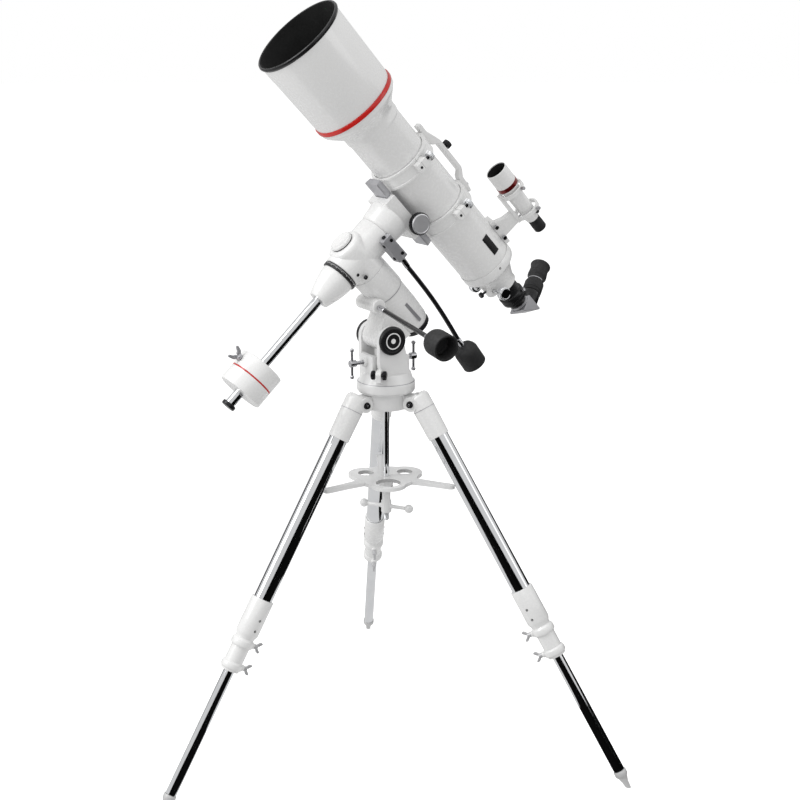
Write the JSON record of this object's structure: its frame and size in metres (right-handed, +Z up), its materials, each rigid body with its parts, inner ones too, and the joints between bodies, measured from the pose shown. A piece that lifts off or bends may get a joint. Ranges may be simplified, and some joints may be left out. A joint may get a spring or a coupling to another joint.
{
  "type": "refracting telescope on an equatorial tripod",
  "caption": "Short refractor in two rings on a German equatorial head with a counterweight, slow-motion shafts, finder and star diagonal, on a tubular tripod with a tray.",
  "frame": {"origin": "on the floor, under the middle of the object's box", "axes": "+Z up; the polar axis lies in a plane of constant Y and points up and towards -X, the object's north; +Y is east"},
  "size_m": [0.973, 0.9246, 1.506],
  "materials": {
    "white_enamel": "gloss white enamel on cast or drawn aluminium",
    "weight_enamel": "gloss white enamel on iron",
    "chrome": "polished plating on steel",
    "steel": "satin",
    "black_plastic": "satin",
    "black_metal": "satin black anodised",
    "rubber": "matte",
    "coated_glass": "polished, coated",
    "grey_casting": "satin machined",
    "foot_plastic": "satin"
  },
  "bodies": {
    "tripod_head": {"tripod_hub": "white_enamel", "spindle_rod": "chrome", "north_hinge_bolt": "steel", "west_hinge_bolt": "steel", "east_hinge_bolt": "steel"},
    "tray": {"accessory_tray": "white_enamel"},
    "spreader_nut": {"spreader_nut_handle": "white_enamel"},
    "north_leg": {"north_leg_bracket": "white_enamel", "north_upper_leg_tube": "chrome", "north_leg_collar": "white_enamel"},
    "north_lower_leg": {"north_lower_leg_tube": "chrome", "north_foot_tip": "foot_plastic"},
    "north_leg_lock": {"north_leg_screw": "steel"},
    "west_leg": {"west_leg_bracket": "white_enamel", "west_upper_leg_tube": "chrome", "west_leg_collar": "white_enamel"},
    "west_lower_leg": {"west_lower_leg_tube": "chrome", "west_foot_tip": "foot_plastic"},
    "west_leg_lock": {"west_leg_screw": "steel"},
    "east_leg": {"east_leg_bracket": "white_enamel", "east_upper_leg_tube": "chrome", "east_leg_collar": "white_enamel"},
    "east_lower_leg": {"east_lower_leg_tube": "chrome", "east_foot_tip": "foot_plastic"},
    "east_leg_lock": {"east_leg_screw": "steel"},
    "azimuth": {"azimuth_base": "white_enamel"},
    "west_azimuth_knob": {"west_azimuth_screw": "black_plastic"},
    "north_azimuth_knob": {"north_azimuth_screw": "black_plastic"},
    "north_latitude_knob": {"north_latitude_screw": "steel"},
    "south_latitude_knob": {"south_latitude_screw": "steel"},
    "polar": {"polar_housing": "white_enamel", "polar_scope_cap": "black_plastic", "latitude_pivot": "black_plastic"},
    "declination": {"dec_housing": "white_enamel", "polar_window_cap": "white_enamel", "dec_setting_circle": "black_plastic", "shaft_cone": "white_enamel", "counterweight_shaft": "chrome"},
    "ra_control": {"ra_control_shaft": "black_plastic"},
    "dec_control": {"dec_control_shaft": "black_plastic"},
    "weight": {"counterweight": "weight_enamel"},
    "weight_lock": {"counterweight_screw": "weight_enamel"},
    "cradle": {"saddle_head": "white_enamel", "dovetail_bar": "grey_casting", "front_ring_lower": "white_enamel", "rear_ring_lower": "white_enamel"},
    "saddle_knob": {"saddle_clamp_knob": "chrome"},
    "ring_tops": {"front_ring_upper": "white_enamel", "rear_ring_upper": "white_enamel", "carrying_bar": "white_enamel"},
    "optical_tube": {"main_tube": "white_enamel", "dew_shield": "white_enamel", "objective_lens": "coated_glass", "focuser_body": "white_enamel", "finder_scope": "white_enamel", "finder_bracket": "white_enamel"},
    "draw": {"draw_tube": "black_metal"},
    "focus": {"focus_shaft": "chrome"},
    "diagonal": {"star_diagonal": "black_plastic"},
    "ocular": {"eyepiece": "rubber"}
  },
  "joints": [
    {"name": "north_leg_fold", "type": "hinge", "parent": "tripod_head", "child": "north_leg", "pos_m": [-0.01556, -0.02686, 0.7417], "axis": [0.0819, -0.9966, 0], "range_deg": [0, 7]},
    {"name": "west_leg_fold", "type": "hinge", "parent": "tripod_head", "child": "west_leg", "pos_m": [0.08215, -0.07304, 0.7417], "axis": [0.8221, 0.5693, 0], "range_deg": [0, 7]},
    {"name": "east_leg_fold", "type": "hinge", "parent": "tripod_head", "child": "east_leg", "pos_m": [0.0733, 0.03467, 0.7417], "axis": [-0.9041, 0.4274, 0], "range_deg": [0, 7]},
    {"name": "tray_slide", "type": "slide", "parent": "tripod_head", "child": "tray", "axis": [0, 0, -1], "range_m": [0, 0.055]},
    {"name": "spreader_nut_spin", "type": "hinge", "parent": "tray", "child": "spreader_nut", "pos_m": [0.04663, -0.02174, 0.533], "axis": [0, 0, 1], "continuous": true},
    {"name": "north_leg_extend", "type": "slide", "parent": "north_leg", "child": "north_lower_leg", "axis": [-0.5193, -0.0427, -0.8536], "range_m": [-0.252, 0.128]},
    {"name": "north_leg_lock_turn", "type": "hinge", "parent": "north_leg", "child": "north_leg_lock", "pos_m": [-0.28539, -0.04904, 0.29891], "axis": [0.8507, 0.0699, -0.521], "range_deg": [-180, 180]},
    {"name": "west_leg_extend", "type": "slide", "parent": "west_leg", "child": "west_lower_leg", "axis": [0.2966, -0.4283, -0.8536], "range_m": [-0.252, 0.128]},
    {"name": "west_leg_lock_turn", "type": "hinge", "parent": "west_leg", "child": "west_leg_lock", "pos_m": [0.23628, -0.29563, 0.29891], "axis": [-0.4859, 0.7017, -0.521], "range_deg": [-180, 180]},
    {"name": "east_leg_extend", "type": "slide", "parent": "east_leg", "child": "east_lower_leg", "axis": [0.2227, 0.471, -0.8536], "range_m": [-0.252, 0.128]},
    {"name": "east_leg_lock_turn", "type": "hinge", "parent": "east_leg", "child": "east_leg_lock", "pos_m": [0.189, 0.27945, 0.29891], "axis": [-0.3648, -0.7717, -0.521], "range_deg": [-180, 180]},
    {"name": "azimuth_turn", "type": "hinge", "parent": "tripod_head", "child": "azimuth", "pos_m": [0.04663, -0.02174, 0.762], "axis": [0, 0, 1], "range_deg": [-10, 10]},
    {"name": "west_azimuth_knob_turn", "type": "hinge", "parent": "azimuth", "child": "west_azimuth_knob", "pos_m": [0.00472, -0.06606, 0.8045], "axis": [-0.7266, 0.6871, 0], "range_deg": [-180, 180]},
    {"name": "north_azimuth_knob_turn", "type": "hinge", "parent": "azimuth", "child": "north_azimuth_knob", "pos_m": [0.00472, -0.06606, 0.8045], "axis": [0.7266, -0.6871, 0], "range_deg": [-180, 180]},
    {"name": "latitude_tilt", "type": "hinge", "parent": "azimuth", "child": "polar", "pos_m": [0.03463, -0.02174, 0.87], "axis": [0, 1, 0], "range_deg": [-10, 8]},
    {"name": "north_latitude_knob_push", "type": "slide", "parent": "azimuth", "child": "north_latitude_knob", "axis": [1, 0, 0], "range_m": [-0.0067, 0.0083]},
    {"name": "south_latitude_knob_push", "type": "slide", "parent": "azimuth", "child": "south_latitude_knob", "axis": [1, 0, 0], "range_m": [-0.0067, 0.0083]},
    {"name": "right_ascension_turn", "type": "hinge", "parent": "polar", "child": "declination", "pos_m": [-0.02117, -0.02174, 1.0328], "axis": [-0.6845, 0, 0.729], "range_deg": [-30, 80]},
    {"name": "ra_control_spin", "type": "hinge", "parent": "polar", "child": "ra_control", "pos_m": [0.007, -0.06474, 0.93853], "axis": [-0.0211, -0.9913, -0.1299], "continuous": true},
    {"name": "dec_control_spin", "type": "hinge", "parent": "declination", "child": "dec_control", "pos_m": [0.05726, -0.06574, 1.02963], "axis": [0.602, 0, -0.7985], "continuous": true},
    {"name": "weight_slide", "type": "slide", "parent": "declination", "child": "weight", "axis": [0.729, 0, 0.6845], "range_m": [-0.025, 0.16]},
    {"name": "weight_lock_turn", "type": "hinge", "parent": "weight", "child": "weight_lock", "pos_m": [-0.27117, -0.02174, 0.86662], "axis": [-0.6845, 0, 0.729], "range_deg": [-180, 180]},
    {"name": "declination_turn", "type": "hinge", "parent": "declination", "child": "cradle", "pos_m": [0.02986, -0.02174, 1.08072], "axis": [0.729, 0, 0.6845], "continuous": true},
    {"name": "saddle_knob_turn", "type": "hinge", "parent": "cradle", "child": "saddle_knob", "pos_m": [0.09066, -0.06174, 1.09529], "axis": [0, -1, 0], "range_deg": [-180, 180]},
    {"name": "ring_tops_open", "type": "hinge", "parent": "cradle", "child": "ring_tops", "pos_m": [0.12894, 0.04726, 1.16073], "axis": [-0.6845, 0, 0.729], "range_deg": [0, 100]},
    {"name": "tube_slide", "type": "slide", "parent": "cradle", "child": "optical_tube", "axis": [-0.6845, 0, 0.729], "range_m": [-0.04, 0.04]},
    {"name": "draw_slide", "type": "slide", "parent": "optical_tube", "child": "draw", "axis": [0.6845, 0, -0.729], "range_m": [-0.02, 0.06]},
    {"name": "focus_turn", "type": "hinge", "parent": "optical_tube", "child": "focus", "pos_m": [0.29357, -0.02174, 0.94014], "axis": [0, 1, 0], "range_deg": [-192, 574]},
    {"name": "diagonal_turn", "type": "hinge", "parent": "draw", "child": "diagonal", "pos_m": [0.38599, -0.02174, 0.887], "axis": [-0.6845, 0, 0.729], "range_deg": [-100, 100]},
    {"name": "eyepiece_slide", "type": "slide", "parent": "diagonal", "child": "ocular", "axis": [0.6436, 0.4695, 0.6044], "range_m": [0, 0.03]}
  ],
  "couplings": [
    {"joint": "west_leg_fold", "follows": "north_leg_fold", "ratio": 1},
    {"joint": "east_leg_fold", "follows": "north_leg_fold", "ratio": 1},
    {"joint": "tray_slide", "follows": "north_leg_fold", "m_per_rad": 0.45},
    {"joint": "north_latitude_knob_push", "follows": "latitude_tilt", "m_per_rad": -0.047},
    {"joint": "south_latitude_knob_push", "follows": "latitude_tilt", "m_per_rad": -0.047},
    {"joint": "focus_turn", "follows": "draw_slide", "rad_per_m": 166.67}
  ]
}
